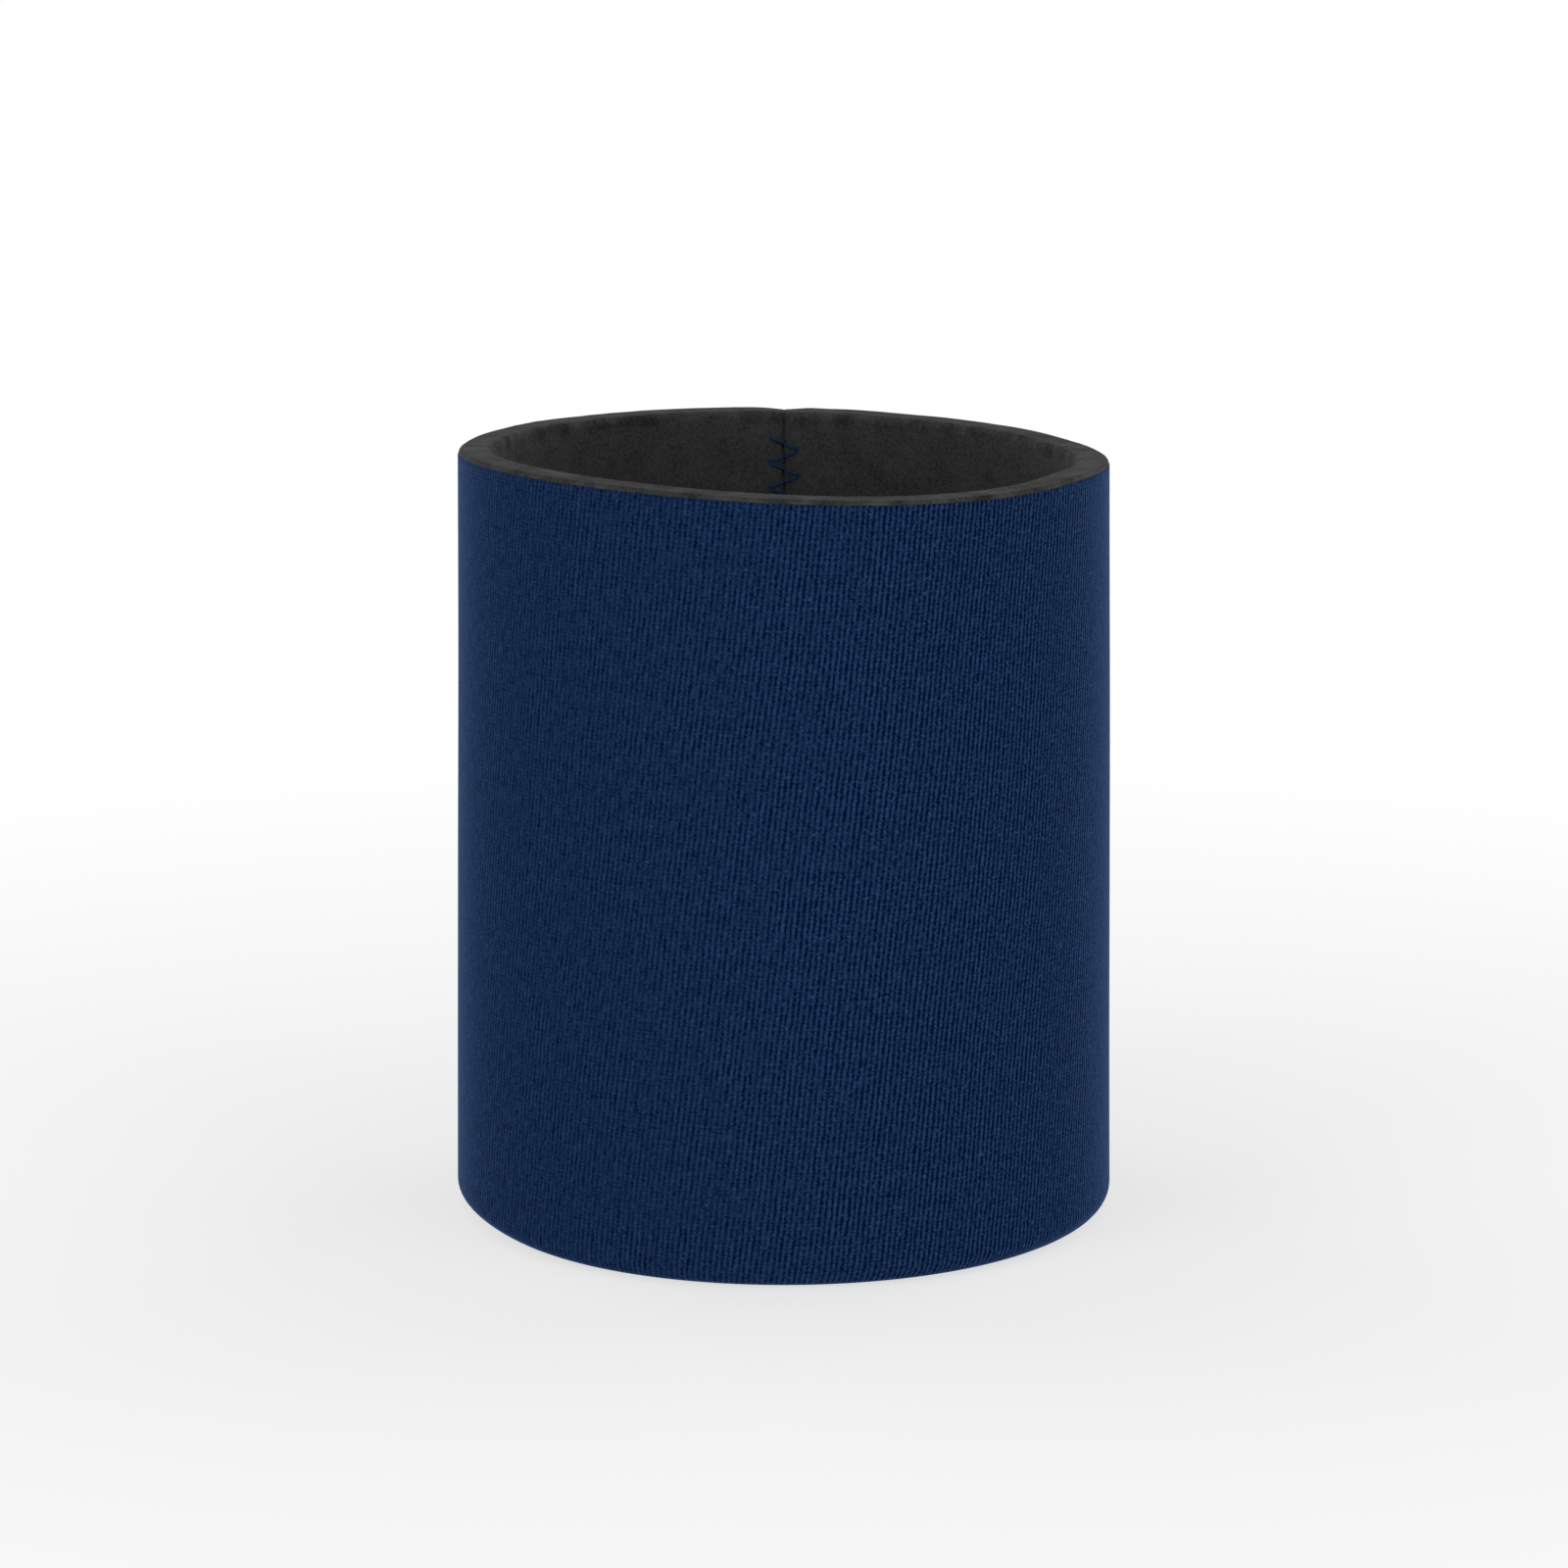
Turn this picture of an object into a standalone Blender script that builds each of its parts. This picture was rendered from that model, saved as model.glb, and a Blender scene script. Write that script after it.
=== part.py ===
"""Insulating drink sleeve: a foam sheet faced with a navy knit, rolled into an open tube and sewn edge to edge.

Units are metres. +Z runs up the tube, the front faces -Y and the seam is at the back, on +Y.
The origin is the centre of the bottom edge, on the tube's axis.
"""
import math

import bmesh
import bpy

# Driving sizes of the tube
BORE_DIAMETER = 0.0662
SLEEVE_HEIGHT = 0.0898
FOAM_THICKNESS = 0.0038
KNIT_THICKNESS = 0.0004
LAYER_GAP = 0.0003

# Edges: the rim is rounded, and the lower outer corner is drawn in
RIM_OUTER_ROUND = 0.0010
RIM_INNER_ROUND = 0.0008
KNIT_TOP_DROP = 0.0007
KNIT_EDGE_ROUND = 0.0002
HEM_INSET = 0.0024
HEM_HEIGHT = 0.0026
HEM_WRAP_DEGREES = 75.0

# Butt seam at the back, closed by a zigzag stitch
SEAM_SLIT = 0.0004
STITCH_WIDTH = 0.0042
STITCH_PITCH = 0.0032
THREAD_DIAMETER = 0.00045
THREAD_REST_GAP = 0.0003
STITCH_END_MARGIN = 0.0010

# Fineness of the faceted surfaces
TURN_STEPS = 96
ARC_STEPS = 5
KNIT_EDGE_STEPS = 2
THREAD_BEVEL_RESOLUTION = 1
SHARP_ANGLE_DEGREES = 40.0

BACK_ANGLE = math.radians(90.0)
QUARTER_TURN = math.radians(90.0)

BORE_RADIUS = BORE_DIAMETER / 2
FOAM_RADIUS = BORE_RADIUS + FOAM_THICKNESS
KNIT_INNER_RADIUS = FOAM_RADIUS + LAYER_GAP
OUTER_RADIUS = KNIT_INNER_RADIUS + KNIT_THICKNESS
KNIT_TOP = SLEEVE_HEIGHT - KNIT_TOP_DROP
HEM_CENTRE_RADIUS = OUTER_RADIUS - HEM_INSET

# Colours are linear RGB
NAVY_KNIT = (0.0091, 0.0232, 0.0685, 1.0)
CHARCOAL_FOAM = (0.0470, 0.0470, 0.0490, 1.0)
NAVY_THREAD = (0.0123, 0.0232, 0.0560, 1.0)


def clear_scene():
    """Remove whatever the scene holds, so that only the sleeve is left."""
    for old in list(bpy.data.objects):
        bpy.data.objects.remove(old, do_unlink=True)


def make_material(name, colour, roughness):
    """Return a plain non-metallic Principled material."""
    material = bpy.data.materials.new(name)
    material.use_nodes = True
    shader = material.node_tree.nodes["Principled BSDF"]
    shader.inputs["Base Color"].default_value = colour
    shader.inputs["Roughness"].default_value = roughness
    shader.inputs["Metallic"].default_value = 0.0
    material.diffuse_color = colour
    return material


def arc(centre, radii, start, end, steps):
    """Return points (radius, height) on an ellipse arc of the section, both ends included."""
    points = []
    for step in range(steps + 1):
        angle = start + (end - start) * step / steps
        across = centre[0] + radii[0] * math.cos(angle)
        up = centre[1] + radii[1] * math.sin(angle)
        points.append((across, up))
    return points


def hem_arc(depth, wrap):
    """Return the rounded lower corner, depth below the outside face, from the wall down to the wrap angle."""
    centre = (HEM_CENTRE_RADIUS, HEM_HEIGHT)
    radii = (HEM_INSET - depth, HEM_HEIGHT - depth)
    return arc(centre, radii, 0.0, -wrap, ARC_STEPS)


def foam_section():
    """Return the foam's section, counter-clockwise from the bore's lower edge."""
    outer_round = min(RIM_OUTER_ROUND, FOAM_THICKNESS / 2)
    inner_round = min(RIM_INNER_ROUND, FOAM_THICKNESS / 2)
    outer_centre = (FOAM_RADIUS - outer_round, SLEEVE_HEIGHT - outer_round)
    inner_centre = (BORE_RADIUS + inner_round, SLEEVE_HEIGHT - inner_round)
    hem = hem_arc(KNIT_THICKNESS + LAYER_GAP, QUARTER_TURN)
    section = [(BORE_RADIUS, 0.0), (HEM_CENTRE_RADIUS, 0.0)]
    section += reversed(hem)
    section += arc(outer_centre, (outer_round, outer_round), 0.0, QUARTER_TURN, ARC_STEPS)
    section += arc(inner_centre, (inner_round, inner_round), QUARTER_TURN, 2 * QUARTER_TURN, ARC_STEPS)
    return section


def knit_section():
    """Return the knit's section, counter-clockwise from its turned-under edge."""
    wrap = math.radians(HEM_WRAP_DEGREES)
    edge_round = min(KNIT_EDGE_ROUND, KNIT_THICKNESS / 2)
    edge_centre = (OUTER_RADIUS - edge_round, KNIT_TOP - edge_round)
    section = list(reversed(hem_arc(0.0, wrap)))
    section += arc(edge_centre, (edge_round, edge_round), 0.0, QUARTER_TURN, KNIT_EDGE_STEPS)
    section.append((KNIT_INNER_RADIUS, KNIT_TOP))
    section += hem_arc(KNIT_THICKNESS, wrap)
    return section


def spin_section(name, section, material):
    """Turn a section about the axis from one side of the back slit to the other and return the object."""
    half_slit = SEAM_SLIT / 2 / FOAM_RADIUS
    start = BACK_ANGLE + half_slit
    sweep = 4 * QUARTER_TURN - 2 * half_slit
    mesh_builder = bmesh.new()
    corners = []
    for radius, height in section:
        place = (radius * math.cos(start), radius * math.sin(start), height)
        corners.append(mesh_builder.verts.new(place))
    mesh_builder.faces.new(corners)
    geometry = mesh_builder.verts[:] + mesh_builder.edges[:] + mesh_builder.faces[:]
    bmesh.ops.spin(
        mesh_builder,
        geom=geometry,
        cent=(0.0, 0.0, 0.0),
        axis=(0.0, 0.0, 1.0),
        angle=sweep,
        steps=TURN_STEPS,
        use_merge=False,
    )
    bmesh.ops.recalc_face_normals(mesh_builder, faces=mesh_builder.faces[:])
    mesh = bpy.data.meshes.new(name)
    mesh_builder.to_mesh(mesh)
    mesh_builder.free()
    mesh.materials.append(material)
    mesh.shade_smooth()
    mesh.set_sharp_from_angle(angle=math.radians(SHARP_ANGLE_DEGREES))
    return link_object(name, mesh)


def link_object(name, data):
    """Add an object with the given mesh or curve to the scene and return it."""
    new_object = bpy.data.objects.new(name, data)
    bpy.context.scene.collection.objects.link(new_object)
    return new_object


def zigzag_points(radius, bottom, top):
    """Return the stitch line: diagonals across the seam, with a short upright run at each needle hole."""
    stitch_rise = STITCH_PITCH / 2
    holes = int((top - bottom) / stitch_rise)
    upright = min(THREAD_DIAMETER, stitch_rise / 3)
    points = []
    for hole in range(1, holes):
        side = 1 if hole % 2 else -1
        angle = BACK_ANGLE + side * STITCH_WIDTH / 2 / radius
        across = radius * math.cos(angle)
        out = radius * math.sin(angle)
        height = bottom + hole * stitch_rise
        points.append((across, out, height - upright / 2))
        points.append((across, out, height + upright / 2))
    return points


def make_thread(name, radius, bottom, top, material):
    """Lay a round thread along the zigzag on a cylinder of the given radius."""
    points = zigzag_points(radius, bottom, top)
    curve = bpy.data.curves.new(name, "CURVE")
    curve.dimensions = "3D"
    curve.bevel_depth = THREAD_DIAMETER / 2
    curve.bevel_resolution = THREAD_BEVEL_RESOLUTION
    curve.use_fill_caps = True
    spline = curve.splines.new("POLY")
    spline.points.add(len(points) - 1)
    for spline_point, place in zip(spline.points, points):
        spline_point.co = (*place, 1.0)
    spline.use_smooth = True
    curve.materials.append(material)
    return link_object(name, curve)


def make_foam_core():
    """The foam sheet, rolled into a tube that is open at both ends."""
    material = make_material("charcoal_foam", CHARCOAL_FOAM, 0.92)
    return spin_section("foam_core", foam_section(), material)


def make_outer_knit():
    """The knit that faces the foam's outer side and turns under its lower edge."""
    material = make_material("navy_knit", NAVY_KNIT, 0.85)
    return spin_section("outer_knit", knit_section(), material)


def make_seam_threads():
    """The two threads of the stitch: one on the outside of the seam, one on the bore side."""
    material = make_material("navy_thread", NAVY_THREAD, 0.6)
    stand_off = THREAD_REST_GAP + THREAD_DIAMETER / 2
    bottom = HEM_HEIGHT + STITCH_END_MARGIN
    top = KNIT_TOP - STITCH_END_MARGIN
    make_thread("seam_thread_outer", OUTER_RADIUS + stand_off, bottom, top, material)
    make_thread("seam_thread_inner", BORE_RADIUS - stand_off, bottom, top, material)


def main():
    """Build the whole sleeve."""
    clear_scene()
    make_foam_core()
    make_outer_knit()
    make_seam_threads()


main()
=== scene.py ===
import math

import bmesh
import bpy
from bpy.props import FloatProperty, FloatVectorProperty, PointerProperty
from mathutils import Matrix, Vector, noise


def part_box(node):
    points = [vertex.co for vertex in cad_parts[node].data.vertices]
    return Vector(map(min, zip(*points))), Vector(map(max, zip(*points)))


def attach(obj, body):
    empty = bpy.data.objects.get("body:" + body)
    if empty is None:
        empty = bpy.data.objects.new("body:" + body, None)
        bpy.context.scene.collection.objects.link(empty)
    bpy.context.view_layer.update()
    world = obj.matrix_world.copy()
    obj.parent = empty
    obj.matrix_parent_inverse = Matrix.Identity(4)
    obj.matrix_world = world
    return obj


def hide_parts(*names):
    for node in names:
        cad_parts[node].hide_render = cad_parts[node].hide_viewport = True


bl_info = {
    "name": "Can Cooler Sleeve",
    "version": (1, 0, 0),
    "blender": (4, 5, 0),
    "location": "3D View > Sidebar > Sleeve",
    "description": "Dresses the can cooler sleeve: foam tube, navy knit, back seam and stage",
    "category": "Object",
}

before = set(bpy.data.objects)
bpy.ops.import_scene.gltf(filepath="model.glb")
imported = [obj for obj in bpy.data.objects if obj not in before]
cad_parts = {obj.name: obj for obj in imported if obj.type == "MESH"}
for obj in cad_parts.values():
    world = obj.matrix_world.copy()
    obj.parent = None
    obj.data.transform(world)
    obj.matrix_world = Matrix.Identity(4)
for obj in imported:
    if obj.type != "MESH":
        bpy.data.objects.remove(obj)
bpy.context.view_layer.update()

MM = 0.001
TINY = 1e-6
ANGLE_MARGIN = 1e-3
QUARTER = math.pi / 2
FULL_TURN = 2 * math.pi

# Places read from the frame, in metres
FOAM_NODE = "foam_core"
KNIT_NODE = "outer_knit"
OUTER_THREAD_NODE = "seam_thread_outer"
INNER_THREAD_NODE = "seam_thread_inner"
OUTER_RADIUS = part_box(KNIT_NODE)[1][0]
KNIT_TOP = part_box(KNIT_NODE)[1][2]
SLEEVE_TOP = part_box(FOAM_NODE)[1][2]
BORE_RADIUS = min(math.hypot(v.co.x, v.co.y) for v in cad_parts[FOAM_NODE].data.vertices)
STITCH_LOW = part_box(OUTER_THREAD_NODE)[0][2] - 1.6 * MM
STITCH_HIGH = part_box(OUTER_THREAD_NODE)[1][2] + 2.0 * MM

# How much lower than the frame's rim the soft foam stands
RIM_PRESS = 0.15 * MM

# Hand-cut edges: height in millimetres over the frame's own edge, by degrees from the front
RIM_LINE = (
    (-180, -2.10), (-145, -1.78), (-112, -1.42), (-90, -1.05), (-68, -0.36), (-48, -0.12),
    (-27, -0.22), (-10, -0.65), (5, -1.02), (20, -1.42), (35, -1.66), (50, -1.74),
    (65, -1.64), (90, -2.30), (112, -2.72), (145, -2.50), (180, -2.10),
)
FOOT_LINE = ((-180, 0.0), (-120, 0.10), (-76, 0.62), (-45, 0.10), (-20, 0.0), (180, 0.0))

# Fine waves of the cut rim: how often each changes round the sleeve, and how high it is
RIM_WAVES = ((4.0, 0.08 * MM), (17.0, 0.04 * MM))

# Slow swell of the wall: depth, height of one wave and how often it changes round the sleeve
SWELL_DEPTH = 0.10 * MM
SWELL_HEIGHT = 40 * MM
SWELL_AROUND = 1.3

# The back seam's valley, each part with its depth and its half width
SEAM_DIP = (0.16 * MM, 3.2 * MM)
SEAM_GROOVE = (0.40 * MM, 1.0 * MM)
SEAM_SLIT = (0.34 * MM, 0.24 * MM)
SEAM_NOTCH = (0.16 * MM, 2.0 * MM)
UNDER_CLOTH_DIP = (0.36 * MM, 3.4 * MM)
GROOVE_EASE_AT_RIM = 0.55
NEEDLE_DIMPLE = 0.30 * MM
NEEDLE_REACH = 0.55 * MM
NEEDLE_MARGIN = 0.5 * MM

# How finely the turned pieces are divided
CORNER_POINTS = 12
KNIT_ROWS = 200
BORE_ROWS = 110
NECK_CUTS = 30
RIM_CUTS = 5
EDGE_COLUMNS = 8
EDGE_STRIP = 0.8 * MM
SEAM_COLUMNS = 18
SEAM_STRIP = 5.4 * MM
FIELD_COLUMNS = 150

# Small measures of the foam's section
CLOSE = 0.02 * MM
LIP_CUTS = (0.01 * MM, 0.05 * MM)
FOOT_INNER_ROUND = 0.3 * MM
RIM_MARK_DEPTH = 1.0 * MM

# Round of the knit's cut edges, and the angle that makes an edge one of them
CUT_EDGE_ROUND = 0.10 * MM
CUT_EDGE_ANGLE = math.radians(60)

# Smooth shading breaks at edges sharper than this
SHARP_ANGLE = math.radians(50)

# Thread: plies, and their measures as shares of the thread's diameter
PLIES = 3
PLY_RADIUS = 0.27
PLY_OFFSET = 0.27
TWIST_PITCH = 2.6
THREAD_LIFT = 0.32
THREAD_SPACING = 0.13 * MM
STITCH_STEPS = 36


class SleeveSizes(bpy.types.PropertyGroup):
    """Sizes of the sleeve that a user would change."""

    bore_radius: FloatProperty(
        name="Bore radius",
        description="Inside of the foam tube",
        default=BORE_RADIUS,
        unit="LENGTH",
    )
    outer_radius: FloatProperty(
        name="Outer radius",
        description="Outside of the knit",
        default=OUTER_RADIUS,
        unit="LENGTH",
    )
    height: FloatProperty(
        name="Height",
        description="From the floor to the foam's rim",
        default=SLEEVE_TOP - RIM_PRESS,
        unit="LENGTH",
    )
    knit_top: FloatProperty(
        name="Knit top",
        description="Height of the knit's upper edge",
        default=KNIT_TOP,
        unit="LENGTH",
    )
    knit_thickness: FloatProperty(
        name="Knit thickness",
        description="Thickness of the knit",
        default=0.4 * MM,
        unit="LENGTH",
    )
    hem_inset: FloatProperty(
        name="Hem inset",
        description="How far the lower corner is drawn in",
        default=2.4 * MM,
        unit="LENGTH",
    )
    hem_height: FloatProperty(
        name="Hem height",
        description="How high the lower corner's round starts",
        default=2.6 * MM,
        unit="LENGTH",
    )
    hem_wrap: FloatProperty(
        name="Hem wrap",
        description="How far the knit turns under",
        default=math.radians(75),
        subtype="ANGLE",
    )
    foam_inset: FloatProperty(
        name="Foam inset",
        description="Gap between the foam and the knit's inside",
        default=0.02 * MM,
        unit="LENGTH",
    )
    rim_lip: FloatProperty(
        name="Rim lip",
        description="How far the foam's rim stays inside the knit's face",
        default=0.10 * MM,
        unit="LENGTH",
    )
    rim_outer_round: FloatProperty(
        name="Outer rim round",
        description="Round of the foam's outer top edge",
        default=0.45 * MM,
        unit="LENGTH",
    )
    rim_inner_round: FloatProperty(
        name="Inner rim round",
        description="Round of the foam's inner top edge",
        default=0.9 * MM,
        unit="LENGTH",
    )
    flare: FloatProperty(
        name="Flare",
        description="How much the outside spreads at the foot and draws in at the rim",
        default=0.50 * MM,
        unit="LENGTH",
    )
    seam_press: FloatProperty(
        name="Seam press",
        description="How far the butted ends press into each other",
        default=0.01 * MM,
        unit="LENGTH",
    )
    stitch_width: FloatProperty(
        name="Stitch width",
        description="Width of the zigzag",
        default=4.2 * MM,
        unit="LENGTH",
    )
    stitch_pitch: FloatProperty(
        name="Stitch pitch",
        description="Height of one full zigzag",
        default=3.2 * MM,
        unit="LENGTH",
    )
    thread_diameter: FloatProperty(
        name="Thread diameter",
        description="Thickness of the sewing thread",
        default=0.45 * MM,
        unit="LENGTH",
    )


class SleeveColours(bpy.types.PropertyGroup):
    """Colours of the sleeve's finishes."""

    knit_ridge: FloatVectorProperty(
        name="Knit ridge",
        description="Yarn on top of a rib",
        default=(0.0208, 0.0540, 0.1340),
        subtype="COLOR",
        size=3,
    )
    # Dark end of the knit's tone: the yarn's darker streaks, and painted shade down between two
    # ribs
    knit_dark_and_painted_gap_shade: FloatVectorProperty(
        name="Knit gap",
        description="Yarn down between two ribs",
        default=(0.0, 0.0045, 0.0280),
        subtype="COLOR",
        size=3,
    )
    foam_light: FloatVectorProperty(
        name="Foam light",
        description="Foam between its pores",
        default=(0.0830, 0.0830, 0.0830),
        subtype="COLOR",
        size=3,
    )
    # Dark end of the foam's mottling, and painted shade down in its pores
    foam_dark_and_painted_pore_shade: FloatVectorProperty(
        name="Foam dark",
        description="Foam down in its pores",
        default=(0.0190, 0.0190, 0.0190),
        subtype="COLOR",
        size=3,
    )
    thread: FloatVectorProperty(
        name="Thread",
        description="Sewing thread",
        default=(0.0140, 0.0360, 0.0980),
        subtype="COLOR",
        size=3,
    )


class SleeveKnit(bpy.types.PropertyGroup):
    """Gauge of the knit."""

    rib_pitch: FloatProperty(
        name="Rib pitch",
        description="Width of one rib",
        default=0.628 * MM,
        precision=5,
        unit="LENGTH",
    )
    course_pitch: FloatProperty(
        name="Course pitch",
        description="Height of one row of loops",
        default=0.44 * MM,
        precision=5,
        unit="LENGTH",
    )
    lean: FloatProperty(
        name="Lean",
        description="Sideways lean of the ribs",
        default=math.radians(6.73),
        subtype="ANGLE",
    )


class Wire:
    """A value in a finish's node tree: arithmetic on it adds Math nodes."""

    def __init__(self, finish, socket):
        self.finish = finish
        self.socket = socket

    def maths(self, operation, *others):
        values = dict(enumerate((self, *others)))
        return self.finish.add("ShaderNodeMath", {"operation": operation}, values)

    def __add__(self, other):
        return self.maths("ADD", other)

    def __radd__(self, other):
        return self.maths("ADD", other)

    def __sub__(self, other):
        return self.maths("SUBTRACT", other)

    def __rsub__(self, other):
        return self.finish.number(other).maths("SUBTRACT", self)

    def __mul__(self, other):
        return self.maths("MULTIPLY", other)

    def __rmul__(self, other):
        return self.maths("MULTIPLY", other)

    def __truediv__(self, other):
        return self.maths("DIVIDE", other)

    def __pow__(self, other):
        return self.maths("POWER", other)

    def __abs__(self):
        return self.maths("ABSOLUTE")

    def wave(self):
        """Return a smooth wave from 0 to 1 with one crest at each whole number."""
        return (self * FULL_TURN).maths("COSINE") * 0.5 + 0.5

    def clamp(self):
        return self.maths("MAXIMUM", 0.0).maths("MINIMUM", 1.0)


class Nodes:
    """A node tree, with one method that adds any node."""

    def __init__(self, tree):
        self.nodes = tree.nodes
        self.links = tree.links

    def feed(self, socket, value):
        """Link a wire to a socket, or set a plain value on it."""
        if isinstance(value, Wire):
            self.links.new(value.socket, socket)
        else:
            socket.default_value = value

    def add(self, kind, settings, values, output=0):
        """Add one node with its settings first, then its sockets' values or links."""
        node = self.nodes.new(kind)
        for name, setting in settings.items():
            setattr(node, name, setting)
        for name, value in values.items():
            self.feed(node.inputs[name], value)
        return Wire(self, node.outputs[output])

    def number(self, value):
        """Return a plain number as a wire."""
        return self.add("ShaderNodeMath", {"operation": "ADD"}, {0: value, 1: 0.0})

    def noise(self, place, detail=1.0, rough=0.5):
        """Return soft noise from 0 to 1, with features about 1 unit of the place wide."""
        values = {"Vector": place, "Scale": 1.0, "Detail": detail, "Roughness": rough}
        return self.add("ShaderNodeTexNoise", {"noise_dimensions": "3D"}, values)

    def cells(self, place, size):
        """Return the distance to the nearest centre of cells of a size."""
        values = {"Vector": place, "Scale": 1 / size, "Randomness": 1.0}
        return self.add("ShaderNodeTexVoronoi", {"feature": "F1"}, values)

    def blend(self, factor, first, second):
        """Return one colour mixed into another by a factor."""
        first = first if isinstance(first, Wire) else (*first, 1.0)
        second = second if isinstance(second, Wire) else (*second, 1.0)
        return self.add("ShaderNodeMix", {"data_type": "RGBA"}, {0: factor, 6: first, 7: second}, 2)

    def join(self, across, up, depth):
        """Return a place made of three values."""
        return self.add("ShaderNodeCombineXYZ", {}, {0: across, 1: up, 2: depth})

    def split(self, place):
        """Return the three values of a place."""
        parts = self.add("ShaderNodeSeparateXYZ", {}, {0: place})
        return [Wire(self, socket) for socket in parts.socket.node.outputs]

    def scaled(self, place, factor):
        """Return a place scaled about the origin."""
        return self.add("ShaderNodeVectorMath", {"operation": "SCALE"}, {0: place, "Scale": factor})

    def millimetres(self):
        """Return the place on the piece, in millimetres."""
        return self.scaled(self.add("ShaderNodeTexCoord", {}, {}, "Object"), 1 / MM)

    def seen(self):
        """Return 1 for what is seen straight, in gloss or through glass, and 0 for other light."""
        rays = self.nodes.new("ShaderNodeLightPath")
        names = ("Is Camera Ray", "Is Glossy Ray", "Is Transmission Ray")
        kinds = [Wire(self, rays.outputs[name]) for name in names]
        return (kinds[0] + kinds[1] + kinds[2]).clamp()


class Finish(Nodes):
    """One material with its Principled shader."""

    def __init__(self, name, roughness, gloss):
        self.material = bpy.data.materials.new(name)
        self.material.use_nodes = True
        super().__init__(self.material.node_tree)
        self.shader = self.nodes["Principled BSDF"]
        self.shader.inputs["Roughness"].default_value = roughness
        self.shader.inputs["Metallic"].default_value = 0.0
        self.shader.inputs["Specular IOR Level"].default_value = gloss

    def colour(self, value):
        """Link or set the shader's base colour."""
        self.feed(self.shader.inputs["Base Color"], value)

    def relief(self, height, strength, distance):
        """Turn a height into the shader's normal."""
        values = {"Height": height, "Strength": strength, "Distance": distance}
        self.feed(self.shader.inputs["Normal"], self.add("ShaderNodeBump", {}, values))

    def sheen(self, weight, roughness, tint):
        """Set the soft glow of fibres seen edge on."""
        self.shader.inputs["Sheen Weight"].default_value = weight
        self.shader.inputs["Sheen Roughness"].default_value = roughness
        self.shader.inputs["Sheen Tint"].default_value = (*tint, 1.0)


def knit_finish(colours, knit, half_round):
    """Fine ribbed jersey: leaning ribs of small loops, bright and dull along each one.

    The cloth's place is in millimetres. The colour is darker down between the ribs, as painted
    shade. A painted band of grazing light, strongest 30 mm right of the front and again on the
    back, makes the ribs stand out more and the flecks brighter there."""
    # Where the painted band of grazing light is strongest, in millimetres right of the front, and
    # how sharp its crests are
    grazing_light_place, grazing_light_power = 30.0, 1.2
    finish = Finish("navy_knit", 0.85, 0.01)
    cloth = finish.add("ShaderNodeAttribute", {"attribute_name": "cloth"}, {}, "Vector")
    across, up, _ = finish.split(cloth)
    drift = finish.noise(finish.join(across * 0.04, up * 0.03, 0.0)) - 0.5
    wobble = finish.noise(finish.join(across * 1.3, up * 0.30, 5.0)) - 0.5
    rib = (across - up * math.tan(knit.lean)) / (knit.rib_pitch / MM)
    rib = rib + drift * 1.6 + wobble * 0.42
    ridge = rib.wave() - 0.5
    side = abs(rib.maths("FRACT") - 0.5)
    loops = (up / (knit.course_pitch / MM) - side * 1.3).wave() - 0.5
    streak = finish.noise(finish.join(rib * 0.9, up * 0.6, 3.0), 2.0, 0.65) - 0.5
    grain = finish.noise(finish.join(across * 2.5, up * 2.7, 1.0), 1.0, 0.6) - 0.5
    fleck = (finish.noise(finish.join(rib * 1.2, up * 1.9, 9.0)) - 0.64).clamp()
    patch = finish.noise(finish.join(across * 0.22, up * 0.15, 7.0)) - 0.5
    # Painted light: stretch is a band of grazing light painted round the sleeve, 1 at its crests
    # and 0 between them
    stretch = ((across - grazing_light_place) / half_round).wave() ** grazing_light_power
    # Rib contrast: random patches, raised where the painted grazing light falls
    rib_contrast_and_painted_light = 0.29 + stretch * 0.40 + patch * 0.66
    # Fuzz of grain and flecks, brighter where the painted grazing light falls
    fuzz_and_painted_light = (grain * 0.95 + fleck * 3.8) * (0.80 + stretch * 0.85)
    # Painted shade: the colour is darker down between the ribs, by the rib contrast
    tone = 0.335 + ridge * rib_contrast_and_painted_light + streak * 0.70 + fuzz_and_painted_light
    tone = (tone + loops * (ridge + 0.5) * 0.25).clamp()
    finish.colour(finish.blend(tone, tuple(colours.knit_dark_and_painted_gap_shade), tuple(colours.knit_ridge)))
    height = ridge * rib_contrast_and_painted_light * 1.2 + loops * (ridge + 0.5) * 0.3 + streak * 0.4 + grain * 0.5
    finish.relief(height, 0.6, 0.07 * MM)
    finish.sheen(0.34, 0.25, (0.27, 0.48, 1.0))
    return finish.material


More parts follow.
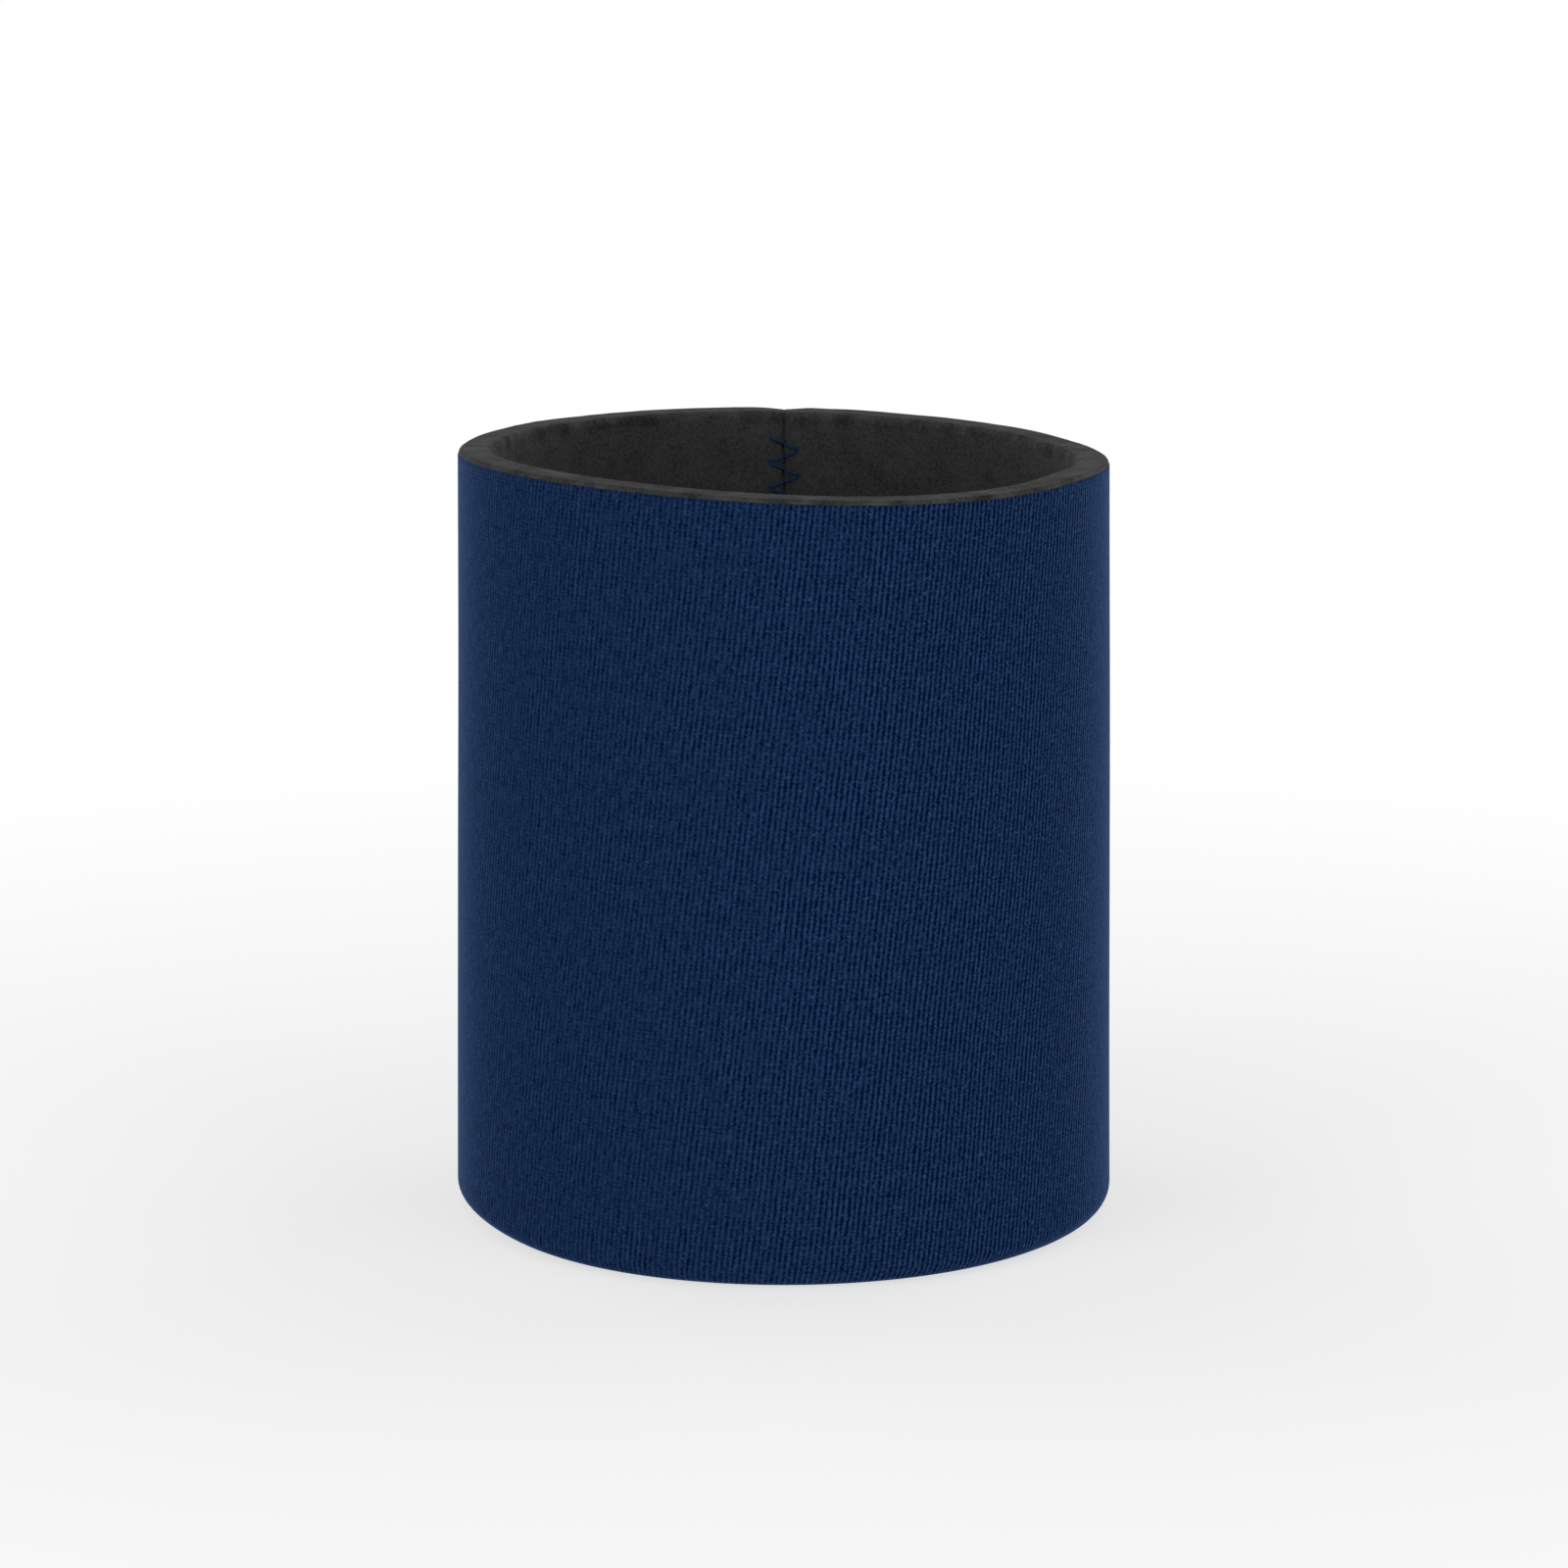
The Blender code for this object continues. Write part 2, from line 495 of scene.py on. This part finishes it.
def foam_finish(colours):
    """Charcoal foam: fine pores of two sizes with painted shade in them, calm on the wall and worn
    in blotches on the rim, whose cut face is also darkened by painted shade.
    """
    coarse_pore, fine_pore = 0.42, 0.20
    finish = Finish("charcoal_foam", 0.95, 0.05)
    place = finish.millimetres()
    rim = finish.add("ShaderNodeAttribute", {"attribute_name": "rim"}, {}, "Fac")
    pores = finish.cells(place, coarse_pore) * 0.6 + finish.cells(place, fine_pore) * 0.4
    blotch = finish.noise(finish.scaled(place, 0.30), 2.0, 0.55) - 0.5
    grain = finish.noise(finish.scaled(place, 4.5), 1.0) - 0.5
    # Painted shade: the foam is lighter at the middles of its pore cells and darker towards their
    # edges
    light = 0.44 + blotch * (0.5 + rim * 1.1) + grain * 0.5 - (pores - 0.4) * 0.6
    # Painted shade: the cut rim is darker by 0.09
    light = (light - rim * 0.09).clamp()
    finish.colour(finish.blend(light, tuple(colours.foam_dark_and_painted_pore_shade), tuple(colours.foam_light)))
    finish.relief(blotch * 0.8 + grain * 0.3 - pores * 0.7, 0.5, 0.16 * MM)
    finish.sheen(0.03, 0.5, (0.8, 0.8, 0.85))
    return finish.material


def thread_finish(colours):
    """Twisted sewing thread with fine fibres."""
    finish = Finish("navy_thread", 0.5, 0.12)
    fibre = finish.noise(finish.scaled(finish.millimetres(), 9.0), 2.0, 0.6)
    dark = tuple(0.45 * part for part in colours.thread)
    finish.colour(finish.blend(fibre, dark, tuple(colours.thread)))
    finish.relief(fibre, 0.3, 0.03 * MM)
    return finish.material


def deselect_all():
    """Leave edit mode and select nothing."""
    if bpy.context.mode != "OBJECT":
        bpy.ops.object.mode_set(mode="OBJECT")
    bpy.ops.object.select_all(action="DESELECT")


def claim(name):
    """Name the newly added object, put its place in its mesh and return it."""
    piece = bpy.context.active_object
    piece.name = name
    piece.data.name = name
    bpy.ops.object.transform_apply(location=True, rotation=True, scale=True)
    return piece


def select_where(piece, test):
    """In edit mode, select the vertices whose place passes a test."""
    bpy.ops.mesh.select_mode(type="VERT")
    bpy.ops.mesh.select_all(action="DESELECT")
    shape = bmesh.from_edit_mesh(piece.data)
    for vertex in shape.verts:
        vertex.select = test(vertex.co)
    shape.select_flush(True)
    bmesh.update_edit_mesh(piece.data)


def cut_edge(piece, test, cuts):
    """Divide the edges between the vertices that pass a test."""
    select_where(piece, test)
    bpy.ops.mesh.subdivide(number_cuts=cuts)


def near(value, target):
    """Tell whether two lengths are the same."""
    return abs(value - target) < CLOSE


def turn_section(sizes):
    """Spin the section from one side of the back seam to the other, with fine columns there."""
    edge = (EDGE_COLUMNS, EDGE_STRIP / sizes.outer_radius)
    strip = (SEAM_COLUMNS, SEAM_STRIP / sizes.outer_radius)
    press = sizes.seam_press / sizes.outer_radius
    field = (FIELD_COLUMNS, FULL_TURN - 2 * edge[1] - 2 * strip[1] + press)
    bpy.ops.mesh.select_all(action="SELECT")
    for steps, angle in (edge, strip, field, strip, edge):
        bpy.ops.mesh.spin(steps=steps, angle=angle, center=(0, 0, 0), axis=(0, 0, 1))
    bpy.ops.mesh.select_all(action="SELECT")
    bpy.ops.mesh.normals_make_consistent(inside=False)


def polar(place):
    """Return the radius and the angle from the back seam of a place."""
    angle = math.atan2(place.x, place.y)
    return math.hypot(place.x, place.y), angle


def bell(distance, width):
    """Return a smooth bump of height 1 that falls off over a width."""
    return math.exp(-((distance / width) ** 2))


def dip(shape, distance):
    """Return how deep a dip of a depth and a half width is at a distance from its middle."""
    depth, width = shape
    return depth * bell(distance, width)


def needle_pull(sizes, along, height):
    """Return how strongly the nearest needle hole pulls in a place beside the seam, from 0 to 1."""
    rise = sizes.stitch_pitch / 2
    count = round((height - STITCH_LOW) / rise)
    pull = 0.0
    for hole in (count - 1, count, count + 1):
        side = 1 if hole % 2 else -1
        across = along - side * sizes.stitch_width / 2
        up = height - STITCH_LOW - hole * rise
        pull += bell(math.hypot(across, up), NEEDLE_REACH)
    inside = STITCH_LOW - NEEDLE_MARGIN < height < STITCH_HIGH + NEEDLE_MARGIN
    return min(pull, 1.0) if inside else 0.0


def cut_line(line, around):
    """Return how far a hand-cut edge stands over its plane, in a direction round the sleeve."""

    def slope(index):
        before, after = line[max(index - 1, 0)], line[min(index + 1, len(line) - 1)]
        return (after[1] - before[1]) / (after[0] - before[0])

    place = math.degrees(math.atan2(around.x, -around.y))
    inner = enumerate(line[1:-1])
    index = next((spot for spot, point in inner if place <= point[0]), len(line) - 2)
    (start, low), (end, high) = line[index], line[index + 1]
    span = end - start
    share = (place - start) / span
    bend = slope(index) * (1 - share) ** 2 * share
    bend -= slope(index + 1) * (1 - share) * share ** 2
    return (low + (high - low) * share ** 2 * (3 - 2 * share) + bend * span) * MM


def soften(sizes, place, under_cloth=False):
    """Move a place as the soft sleeve lies: seam valley, dimples, flare and hand-cut edges."""
    radius, angle = polar(place)
    height = place.z
    along = angle * sizes.outer_radius
    outward = (radius - sizes.bore_radius) / (sizes.outer_radius - sizes.bore_radius) * 2 - 1
    to_rim = height / sizes.height
    sink = dip(SEAM_DIP, along) + dip(SEAM_SLIT, along)
    sink += (1 - GROOVE_EASE_AT_RIM * to_rim ** 20) * dip(SEAM_GROOVE, along)
    if under_cloth and outward > 0.5 and height < sizes.knit_top + CLOSE:
        sink += dip(UNDER_CLOTH_DIP, along)
    else:
        sink += NEEDLE_DIMPLE * needle_pull(sizes, along, height)
    radius -= max(-1.0, min(1.0, outward * 1.5)) * sink
    radius += sizes.flare * (1 - 2 * to_rim) * (outward + 1) / 2
    around = Vector((math.sin(angle), math.cos(angle), 0.0))
    rise = Vector((0, 0, height / SWELL_HEIGHT))
    radius += SWELL_DEPTH * noise.noise(around * SWELL_AROUND + rise)
    height += to_rim * cut_line(RIM_LINE, around)
    height += max(0.0, 1 - to_rim) ** 16 * cut_line(FOOT_LINE, around)
    height += to_rim ** 6 * sum(tall * noise.noise(around * often) for often, tall in RIM_WAVES)
    height -= to_rim ** 8 * dip(SEAM_NOTCH, along)
    return Vector((radius * math.sin(angle), radius * math.cos(angle), height))


def soften_piece(piece, sizes, under_cloth=False):
    """Move every vertex of a piece as the soft sleeve lies."""
    for vertex in piece.data.vertices:
        vertex.co = soften(sizes, vertex.co, under_cloth)
    piece.data.update()


def mark_cloth(piece, sizes, first_end):
    """Write where each vertex lies on the flat cloth, in millimetres: across, up and 0.

    Across counts from the front. The first end is the spun section, whose vertices come first."""
    marks = piece.data.attributes.new("cloth", "FLOAT_VECTOR", "POINT")
    for vertex, mark in zip(piece.data.vertices, marks.data):
        angle = math.atan2(vertex.co.x, -vertex.co.y)
        if math.pi - abs(angle) < sizes.seam_press / sizes.outer_radius * 2:
            angle = -math.pi if vertex.index < first_end else math.pi
        up = vertex.co.z
        if up < sizes.hem_height:
            drop = math.asin(min(1.0, (sizes.hem_height - up) / sizes.hem_height))
            up = sizes.hem_height - drop * sizes.hem_height
        mark.vector = (angle * sizes.outer_radius / MM, up / MM, 0.0)


def mark_rim(piece, sizes):
    """Write 1 on the vertices of the foam's cut rim and 0 below it."""
    marks = piece.data.attributes.new("rim", "FLOAT", "POINT")
    for vertex, mark in zip(piece.data.vertices, marks.data):
        mark.value = 1.0 if vertex.co.z > sizes.height - RIM_MARK_DEPTH else 0.0


def apply_modifier(piece, name, kind, **settings):
    """Add a modifier with its settings and apply it."""
    modifier = piece.modifiers.new(name, kind)
    for key, value in settings.items():
        setattr(modifier, key, value)
    bpy.context.view_layer.objects.active = piece
    bpy.ops.object.modifier_apply(modifier=modifier.name)


def round_corner(piece, corner, radius, segments):
    """Round one corner of a flat section, in edit mode."""
    across, up = corner
    select_where(piece, lambda place: near(place.y, across) and near(place.z, up))
    bpy.ops.mesh.bevel(offset=radius, segments=segments, affect="VERTICES")


class SLEEVE_OT_foam(bpy.types.Operator):
    """Roll the foam sheet into an open tube with rounded edges"""

    bl_idname = "sleeve.foam"
    bl_label = "Foam tube"

    def execute(self, context):
        sizes = context.scene.sleeve_sizes
        inner = sizes.bore_radius
        outer = sizes.outer_radius - sizes.rim_lip
        neck = sizes.outer_radius - sizes.knit_thickness - sizes.foam_inset
        deselect_all()
        middle = (0, (inner + outer) / 2, sizes.height / 2)
        bpy.ops.mesh.primitive_plane_add(size=1, location=middle, rotation=(0, QUARTER, 0))
        context.active_object.scale = (sizes.height, outer - inner, 1)
        foam = claim("foam_tube")
        bpy.ops.object.mode_set(mode="EDIT")
        round_corner(foam, (outer, sizes.height), sizes.rim_outer_round, 8)
        round_corner(foam, (inner, sizes.height), sizes.rim_inner_round, 8)
        round_corner(foam, (outer, 0), sizes.hem_height, 6)
        round_corner(foam, (inner, 0), FOOT_INNER_ROUND, 2)
        bpy.ops.mesh.select_all(action="SELECT")
        bpy.ops.mesh.delete(type="ONLY_FACE")
        for over in LIP_CUTS:
            plane = (0, 0, sizes.knit_top + over)
            bpy.ops.mesh.select_all(action="SELECT")
            bpy.ops.mesh.bisect(plane_co=plane, plane_no=(0, 0, 1), threshold=TINY)
        knit_top = sizes.knit_top
        select_where(foam, lambda place: place.y > neck and place.z < knit_top + CLOSE)
        bpy.ops.transform.translate(value=(0, neck - outer, 0))
        cut_edge(foam, lambda place: near(place.y, inner) and place.z < knit_top, BORE_ROWS - 1)
        cut_edge(foam, lambda place: near(place.y, neck), NECK_CUTS)
        cut_edge(foam, lambda place: near(place.z, sizes.height), RIM_CUTS)
        turn_section(sizes)
        bpy.ops.mesh.fill_holes(sides=0)
        bpy.ops.mesh.normals_make_consistent(inside=False)
        bpy.ops.object.mode_set(mode="OBJECT")
        mark_rim(foam, sizes)
        soften_piece(foam, sizes, under_cloth=True)
        bpy.ops.object.shade_smooth_by_angle(angle=SHARP_ANGLE)
        foam.data.materials.append(foam_finish(context.scene.sleeve_colours))
        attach(foam, "root")
        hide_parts(FOAM_NODE)
        return {"FINISHED"}


class SLEEVE_OT_knit(bpy.types.Operator):
    """Face the foam with the navy knit, turned under the lower corner"""

    bl_idname = "sleeve.knit"
    bl_label = "Knit face"

    def execute(self, context):
        sizes = context.scene.sleeve_sizes
        centre = Vector((0, sizes.outer_radius - sizes.hem_inset, sizes.hem_height))
        deselect_all()
        bpy.ops.mesh.primitive_circle_add(
            vertices=4 * CORNER_POINTS,
            radius=sizes.hem_inset,
            location=centre,
            rotation=(0, QUARTER, 0),
        )
        knit = claim("knit_face")
        bpy.ops.object.mode_set(mode="EDIT")

        def outside_the_corner(place):
            drop = math.atan2(centre.z - place.z, place.y - centre.y)
            return drop < -TINY or drop > sizes.hem_wrap + ANGLE_MARGIN

        select_where(knit, outside_the_corner)
        bpy.ops.mesh.delete(type="VERT")
        bpy.ops.mesh.select_all(action="SELECT")
        stretch = sizes.hem_height / sizes.hem_inset
        bpy.ops.transform.resize(value=(1, 1, stretch), center_override=centre)
        select_where(knit, lambda place: near(place.z, centre.z))
        wall = sizes.knit_top - sizes.hem_height
        bpy.ops.mesh.extrude_vertices_move(TRANSFORM_OT_translate={"value": (0, 0, wall)})
        cut_edge(knit, lambda place: near(place.y, sizes.outer_radius), KNIT_ROWS - 1)
        bpy.ops.object.mode_set(mode="OBJECT")
        first_end = len(knit.data.vertices)
        bpy.ops.object.mode_set(mode="EDIT")
        turn_section(sizes)
        bpy.ops.object.mode_set(mode="OBJECT")
        mark_cloth(knit, sizes, first_end)
        soften_piece(knit, sizes)
        apply_modifier(
            knit,
            "thickness",
            "SOLIDIFY",
            thickness=sizes.knit_thickness,
            offset=-1.0,
            use_even_offset=True,
        )
        apply_modifier(
            knit,
            "cut edges",
            "BEVEL",
            width=CUT_EDGE_ROUND,
            segments=2,
            limit_method="ANGLE",
            angle_limit=CUT_EDGE_ANGLE,
        )
        bpy.ops.object.shade_smooth_by_angle(angle=SHARP_ANGLE)
        half_round = math.pi * sizes.outer_radius / MM
        finish = knit_finish(context.scene.sleeve_colours, context.scene.sleeve_knit, half_round)
        knit.data.materials.append(finish)
        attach(knit, "root")
        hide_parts(KNIT_NODE)
        return {"FINISHED"}


def stitch_places(sizes, surface, outward):
    """Return the thread's centre line: over the cloth, and down into each needle hole."""
    hole_share, hole_depth = 0.09, 2.6
    rise = sizes.stitch_pitch / 2
    holes = int((STITCH_HIGH - STITCH_LOW) / rise)
    places = []
    for hole in range(holes):
        side = 1 if hole % 2 else -1
        for step in range(STITCH_STEPS):
            share = step / STITCH_STEPS
            along = side * sizes.stitch_width * (0.5 - share)
            height = STITCH_LOW + (hole + share) * rise
            dive = bell(min(share, 1 - share), hole_share) * hole_depth
            lift = THREAD_LIFT * sizes.thread_diameter * (1 - dive)
            radius = surface + outward * lift
            angle = along / sizes.outer_radius
            flat = Vector((radius * math.sin(angle), radius * math.cos(angle), height))
            places.append(soften(sizes, flat))
    return places


def even_places(places, spacing):
    """Return places at an even spacing along a line."""
    even = [places[0]]
    left = spacing
    for start, end in zip(places, places[1:]):
        run = (end - start).length
        while left <= run:
            start = start.lerp(end, left / run)
            run = (end - start).length
            even.append(start.copy())
            left = spacing
        left -= run
    return even


def ply_places(places, ply, diameter):
    """Return the line of one ply, wound about the thread's centre line."""
    twist_pitch = TWIST_PITCH * diameter
    offset = PLY_OFFSET * diameter
    line = []
    for index in range(1, len(places) - 1):
        along = (places[index + 1] - places[index - 1]).normalized()
        out = Vector((places[index].x, places[index].y, 0)).normalized()
        out = (out - along * out.dot(along)).normalized()
        across = along.cross(out)
        turn = FULL_TURN * (index * THREAD_SPACING / twist_pitch + ply / PLIES)
        line.append(places[index] + offset * (out * math.cos(turn) + across * math.sin(turn)))
    return line


def make_thread(name, node, surface, outward, sizes, finish):
    """Lay a three-ply thread along the zigzag on one side of the seam."""
    places = even_places(stitch_places(sizes, surface, outward), THREAD_SPACING)
    deselect_all()
    bpy.ops.curve.primitive_bezier_curve_add()
    thread = bpy.context.active_object
    thread.name = name
    curve = thread.data
    curve.dimensions = "3D"
    curve.splines.clear()
    curve.bevel_depth = PLY_RADIUS * sizes.thread_diameter
    curve.bevel_resolution = 1
    curve.use_fill_caps = True
    for ply in range(PLIES):
        line = ply_places(places, ply, sizes.thread_diameter)
        spline = curve.splines.new("POLY")
        spline.points.add(len(line) - 1)
        for point, place in zip(spline.points, line):
            point.co = (*place, 1.0)
    bpy.ops.object.convert(target="MESH")
    thread = claim(name)
    bpy.ops.object.shade_smooth()
    thread.data.materials.clear()
    thread.data.materials.append(finish)
    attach(thread, "root")
    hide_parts(node)


class SLEEVE_OT_threads(bpy.types.Operator):
    """Sew the back seam: the outer and the inner thread of the zigzag"""

    bl_idname = "sleeve.threads"
    bl_label = "Seam threads"

    def execute(self, context):
        sizes = context.scene.sleeve_sizes
        finish = thread_finish(context.scene.sleeve_colours)
        outer, inner = sizes.outer_radius, sizes.bore_radius
        make_thread("zigzag_outer", OUTER_THREAD_NODE, outer, 1, sizes, finish)
        make_thread("zigzag_inner", INNER_THREAD_NODE, inner, -1, sizes, finish)
        return {"FINISHED"}


# Camera: the photograph's viewing angle, worked out from the sleeve's outline
VIEW_ELEVATION = math.radians(12.5)
VIEW_DISTANCE = 0.700
VIEW_CENTRE_HEIGHT = 0.046
VIEW_AIM_HEIGHT = 0.04929
PIXELS_PER_METRE = 8838.0
IMAGE_PIXELS = 1600
SENSOR_WIDTH = 36.0

# The room's even light, and the share of white light that the table under the sleeve gives off
ROOM_LIGHT = 0.30
TABLE_LIGHT = 0.60

# The table: how far below the sleeve, how wide in metres, the share of white that is seen near
# the sleeve, and where in millimetres the fade to all white starts and how long it is
TABLE_DROP = 0.02 * MM
TABLE_WIDTH = 6
TABLE_NEAR_WHITE = 0.66
FADE_START = 60.0
FADE_LENGTH = 190.0

# Soft lamps: name, place, width and power in watts
LAMPS = (
    ("key", (-0.85, -0.75, 0.44), 0.7, 4.8),
    ("fill", (0.90, -0.70, 0.24), 0.9, 6.0),
    ("back_left", (-0.8, 0.7, 0.3), 0.8, 5.0),
    ("back_right", (0.8, 0.7, 0.3), 0.8, 5.2),
    ("overhead", (0.0, 0.1, 1.1), 0.8, 1.0),
)


def add_camera(scene):
    """Place the camera in front of the sleeve and a little above it."""
    camera = bpy.data.objects.new("view", bpy.data.cameras.new("view"))
    scene.collection.objects.link(camera)
    out = VIEW_DISTANCE * math.cos(VIEW_ELEVATION)
    up = VIEW_CENTRE_HEIGHT + VIEW_DISTANCE * math.sin(VIEW_ELEVATION)
    camera.location = (0, -out, up)
    aim = Vector((0, 0, VIEW_AIM_HEIGHT)) - camera.location
    camera.rotation_mode = "QUATERNION"
    camera.rotation_quaternion = aim.to_track_quat("-Z", "Y")
    camera.data.sensor_width = SENSOR_WIDTH
    camera.data.lens = SENSOR_WIDTH * PIXELS_PER_METRE * VIEW_DISTANCE / IMAGE_PIXELS
    scene.camera = camera


def add_softbox(scene, name, place, width, power):
    """Hang one soft square lamp that faces the sleeve."""
    lamp = bpy.data.lights.new(name, "AREA")
    lamp.shape = "SQUARE"
    lamp.size = width
    lamp.energy = power
    holder = bpy.data.objects.new(name, lamp)
    scene.collection.objects.link(holder)
    holder.location = place
    aim = Vector((0, 0, VIEW_CENTRE_HEIGHT)) - holder.location
    holder.rotation_mode = "QUATERNION"
    holder.rotation_quaternion = aim.to_track_quat("-Z", "Y")


def add_world(scene):
    """Light the room evenly, and show plain white where the room itself is seen."""
    world = bpy.data.worlds.new("studio")
    world.use_nodes = True
    scene.world = world
    room = Nodes(world.node_tree)
    cool = {"Color": (0.97, 0.98, 1.0, 1.0), "Strength": ROOM_LIGHT}
    plain = {"Color": (1.0, 1.0, 1.0, 1.0), "Strength": 1.0}
    dim = room.add("ShaderNodeBackground", {}, cool)
    white = room.add("ShaderNodeBackground", {}, plain)
    shown = room.add("ShaderNodeMixShader", {}, {0: room.seen(), 1: dim, 2: white})
    room.feed(room.nodes["World Output"].inputs["Surface"], shown)


def floor_finish():
    """Pale light table: it keeps the shadow near the sleeve and fades to plain white."""
    finish = Finish("pale_floor", 0.9, 0.0)
    finish.colour((0.9, 0.9, 0.9, 1.0))
    length = {"operation": "LENGTH"}
    away = finish.add("ShaderNodeVectorMath", length, {0: finish.millimetres()}, "Value")
    far = ((away - FADE_START) / FADE_LENGTH).clamp()
    glow = finish.add("ShaderNodeEmission", {}, {"Color": (1.0, 1.0, 1.0, 1.0), "Strength": 1.0})
    lit = Wire(finish, finish.shader.outputs[0])
    white = TABLE_NEAR_WHITE - TABLE_LIGHT + far * (1 - TABLE_NEAR_WHITE)
    factor = finish.seen() * white + TABLE_LIGHT
    shown = finish.add("ShaderNodeMixShader", {}, {0: factor, 1: lit, 2: glow})
    finish.feed(finish.nodes["Material Output"].inputs["Surface"], shown)
    return finish.material


class SLEEVE_OT_stage(bpy.types.Operator):
    """Set the floor, the lamps, the room and the camera"""

    bl_idname = "sleeve.stage"
    bl_label = "Stage"

    def execute(self, context):
        scene = context.scene
        deselect_all()
        bpy.ops.mesh.primitive_plane_add(size=TABLE_WIDTH, location=(0, 0, -TABLE_DROP))
        floor = claim("floor")
        floor.data.materials.append(floor_finish())
        add_world(scene)
        for name, place, width, power in LAMPS:
            add_softbox(scene, name, place, width, power)
        add_camera(scene)
        scene.view_settings.view_transform = "Standard"
        return {"FINISHED"}


class SLEEVE_PT_panel(bpy.types.Panel):
    """Lists the sleeve's sizes, colours and steps"""

    bl_idname = "SLEEVE_PT_panel"
    bl_label = "Can cooler sleeve"
    bl_space_type = "VIEW_3D"
    bl_region_type = "UI"
    bl_category = "Sleeve"

    def draw(self, context):
        scene = context.scene
        for group in (scene.sleeve_sizes, scene.sleeve_colours, scene.sleeve_knit):
            box = self.layout.box()
            for name in group.__annotations__:
                box.prop(group, name)
        for step in STEPS:
            self.layout.operator(step.bl_idname)


STEPS = (SLEEVE_OT_foam, SLEEVE_OT_knit, SLEEVE_OT_threads, SLEEVE_OT_stage)
CLASSES = (SleeveSizes, SleeveColours, SleeveKnit, *STEPS, SLEEVE_PT_panel)


def register():
    """Register the classes and hang the property groups on the scene."""
    for kind in CLASSES:
        bpy.utils.register_class(kind)
    bpy.types.Scene.sleeve_sizes = PointerProperty(type=SleeveSizes)
    bpy.types.Scene.sleeve_colours = PointerProperty(type=SleeveColours)
    bpy.types.Scene.sleeve_knit = PointerProperty(type=SleeveKnit)


def unregister():
    """Undo register."""
    del bpy.types.Scene.sleeve_knit
    del bpy.types.Scene.sleeve_colours
    del bpy.types.Scene.sleeve_sizes
    for kind in reversed(CLASSES):
        bpy.utils.unregister_class(kind)


def main():
    """Dress the sleeve and set its stage."""
    register()
    bpy.ops.sleeve.foam()
    bpy.ops.sleeve.knit()
    bpy.ops.sleeve.threads()
    bpy.ops.sleeve.stage()


if __name__ == "__main__":
    main()
